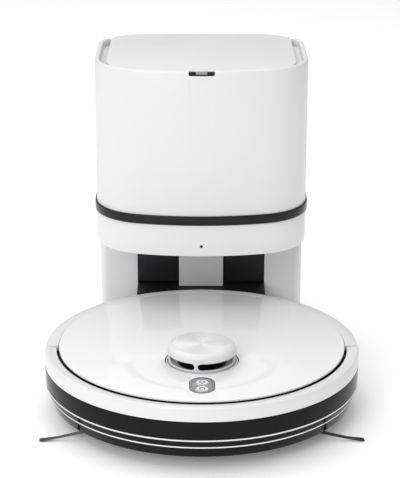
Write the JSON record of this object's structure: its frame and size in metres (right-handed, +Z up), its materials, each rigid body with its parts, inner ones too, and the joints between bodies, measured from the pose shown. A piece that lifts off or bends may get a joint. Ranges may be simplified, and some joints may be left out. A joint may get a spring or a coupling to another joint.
{
  "type": "robot vacuum",
  "caption": "Disc-shaped robot vacuum with a laser turret and side brushes, parked in its tall self-emptying station with a lidded bag bay.",
  "frame": {"origin": "on the floor, in the middle of the footprint of the robot and its station", "axes": "+Z up, +Y from the robot towards the back of the station, +X to the right as seen from the robot's side"},
  "size_m": [0.351, 0.49, 0.36],
  "materials": {
    "body_white": "satin moulded",
    "lid_white": "high gloss",
    "trim_white": "gloss",
    "band_black": "high gloss",
    "ring_black": "gloss",
    "body_black": "satin moulded",
    "cover_grey": "satin moulded",
    "inner_grey": "satin moulded",
    "key_grey": "satin",
    "window_black": "high gloss",
    "seal_rubber": "matte",
    "tyre_rubber": "matte",
    "bristle_black": "fine nylon bristle",
    "circuit_board": "solder mask",
    "pin_steel": "turned",
    "contact_metal": "plated",
    "bag_paper": "non-woven",
    "filter_fleece": "pleated fleece",
    "battery_sleeve": "shrink sleeve"
  },
  "bodies": {
    "station": {"station_base": "body_black", "base_foot": "seal_rubber", "lower_shell": "body_white", "trim_band": "ring_black", "upper_shell": "body_white", "rear_cover": "body_white", "duct_column": "cover_grey", "suction_seal": "seal_rubber", "suction_duct": "inner_grey", "bag_tray": "inner_grey", "bag_collar": "bag_paper", "dust_bag": "bag_paper", "vacuum_motor": "body_black", "exhaust_filter": "filter_fleece", "control_board": "circuit_board", "power_inlet": "body_black", "status_led": "window_black", "lid_seal": "seal_rubber", "lid_hinge_pin": "pin_steel", "latch_housing": "body_black", "ir_window_left": "window_black", "ir_window_right": "window_black"},
    "station_rotor": {"station_impeller": "inner_grey"},
    "lid": {"station_lid": "body_white"},
    "latch": {"lid_latch": "key_grey"},
    "contact_left": {"charge_contact_left": "contact_metal"},
    "contact_right": {"charge_contact_right": "contact_metal"},
    "robot": {"chassis": "body_black", "upper_cover": "body_white", "top_plate": "lid_white", "button_pad": "key_grey", "lidar_base": "body_white", "turret_cover": "body_white", "battery": "battery_sleeve", "main_board": "circuit_board", "dust_bin": "inner_grey", "bin_filter": "filter_fleece", "fan_housing": "body_black", "brush_guard": "body_black", "side_motor_left": "pin_steel", "side_motor_right": "pin_steel"},
    "bumper": {"bumper_shell": "body_white", "bumper_window": "band_black", "bumper_trim": "trim_white"},
    "lidar": {"lidar_head": "window_black"},
    "home_key": {"home_button": "key_grey"},
    "power_key": {"power_button": "key_grey"},
    "flap": {"bin_flap": "body_black"},
    "fan_rotor": {"fan_impeller": "inner_grey"},
    "brush": {"main_brush": "bristle_black"},
    "sweeper_left": {"side_brush_left": "bristle_black"},
    "sweeper_right": {"side_brush_right": "bristle_black"},
    "arm_left": {"wheel_arm_left": "body_black"},
    "arm_right": {"wheel_arm_right": "body_black"},
    "drive_left": {"wheel_left": "inner_grey", "tyre_left": "tyre_rubber"},
    "drive_right": {"wheel_right": "inner_grey", "tyre_right": "tyre_rubber"},
    "caster": {"caster_fork": "body_black"},
    "caster_roller": {"caster_wheel": "tyre_rubber"}
  },
  "joints": [
    {"name": "dock_drive", "type": "slide", "parent": "station", "child": "robot", "axis": [0, -1, 0], "range_m": [0, 0.3]},
    {"name": "bumper_press", "type": "slide", "parent": "robot", "child": "bumper", "axis": [0, 1, 0], "range_m": [0, 0.0015], "stiffness_N_per_m": 500, "springref_m": -0.001},
    {"name": "lidar_spin", "type": "hinge", "parent": "robot", "child": "lidar", "pos_m": [0, -0.1195, 0.08], "axis": [0, 0, 1], "continuous": true},
    {"name": "home_press", "type": "slide", "parent": "robot", "child": "home_key", "axis": [0, 0, -1], "range_m": [0, 0.0008], "stiffness_N_per_m": 600, "springref_m": -0.0002},
    {"name": "power_press", "type": "slide", "parent": "robot", "child": "power_key", "axis": [0, 0, -1], "range_m": [0, 0.0008], "stiffness_N_per_m": 600, "springref_m": -0.0002},
    {"name": "flap_swing", "type": "hinge", "parent": "robot", "child": "flap", "pos_m": [0, 0.0989, 0.0524], "axis": [1, 0, 0], "range_deg": [0, 65], "stiffness_Nm_per_rad": 0.003},
    {"name": "fan_spin", "type": "hinge", "parent": "robot", "child": "fan_rotor", "pos_m": [0.085, 0.03, 0.043], "axis": [0, 0, 1], "continuous": true},
    {"name": "brush_spin", "type": "hinge", "parent": "robot", "child": "brush", "pos_m": [0, -0.025, 0.0205], "axis": [1, 0, 0], "continuous": true},
    {"name": "side_brush_spin_left", "type": "hinge", "parent": "robot", "child": "sweeper_left", "pos_m": [-0.098, -0.167, 0.011], "axis": [0, 0, 1], "continuous": true},
    {"name": "side_brush_spin_right", "type": "hinge", "parent": "robot", "child": "sweeper_right", "pos_m": [0.098, -0.167, 0.011], "axis": [0, 0, 1], "continuous": true},
    {"name": "wheel_drop_left", "type": "hinge", "parent": "robot", "child": "arm_left", "pos_m": [-0.1003, -0.027, 0.038], "axis": [1, 0, 0], "range_deg": [0, 30]},
    {"name": "wheel_spin_left", "type": "hinge", "parent": "arm_left", "child": "drive_left", "pos_m": [-0.113, -0.065, 0.031], "axis": [1, 0, 0], "continuous": true},
    {"name": "wheel_drop_right", "type": "hinge", "parent": "robot", "child": "arm_right", "pos_m": [0.1003, -0.027, 0.038], "axis": [1, 0, 0], "range_deg": [0, 30]},
    {"name": "wheel_spin_right", "type": "hinge", "parent": "arm_right", "child": "drive_right", "pos_m": [0.113, -0.065, 0.031], "axis": [1, 0, 0], "continuous": true},
    {"name": "caster_swivel", "type": "hinge", "parent": "robot", "child": "caster", "pos_m": [0, -0.198, 0.035], "axis": [0, 0, 1], "continuous": true},
    {"name": "caster_roll", "type": "hinge", "parent": "caster", "child": "caster_roller", "pos_m": [0, -0.19, 0.013], "axis": [1, 0, 0], "continuous": true},
    {"name": "lid_hinge", "type": "hinge", "parent": "station", "child": "lid", "pos_m": [0, 0.2405, 0.349], "axis": [-1, 0, 0], "range_deg": [0, 80]},
    {"name": "latch_press", "type": "slide", "parent": "station", "child": "latch", "axis": [0, 1, 0], "range_m": [0, 0.0015], "stiffness_N_per_m": 500, "springref_m": -0.0005},
    {"name": "contact_press_left", "type": "slide", "parent": "station", "child": "contact_left", "axis": [0, 0, -1], "range_m": [0, 0.003], "stiffness_N_per_m": 200, "springref_m": -0.003},
    {"name": "contact_press_right", "type": "slide", "parent": "station", "child": "contact_right", "axis": [0, 0, -1], "range_m": [0, 0.003], "stiffness_N_per_m": 200, "springref_m": -0.003},
    {"name": "station_fan_spin", "type": "hinge", "parent": "station", "child": "station_rotor", "pos_m": [-0.068, 0.194, 0.1], "axis": [0, 0, 1], "continuous": true}
  ],
  "couplings": [
    {"joint": "wheel_spin_left", "follows": "dock_drive", "rad_per_m": 32.258},
    {"joint": "wheel_spin_right", "follows": "dock_drive", "rad_per_m": 32.258}
  ]
}
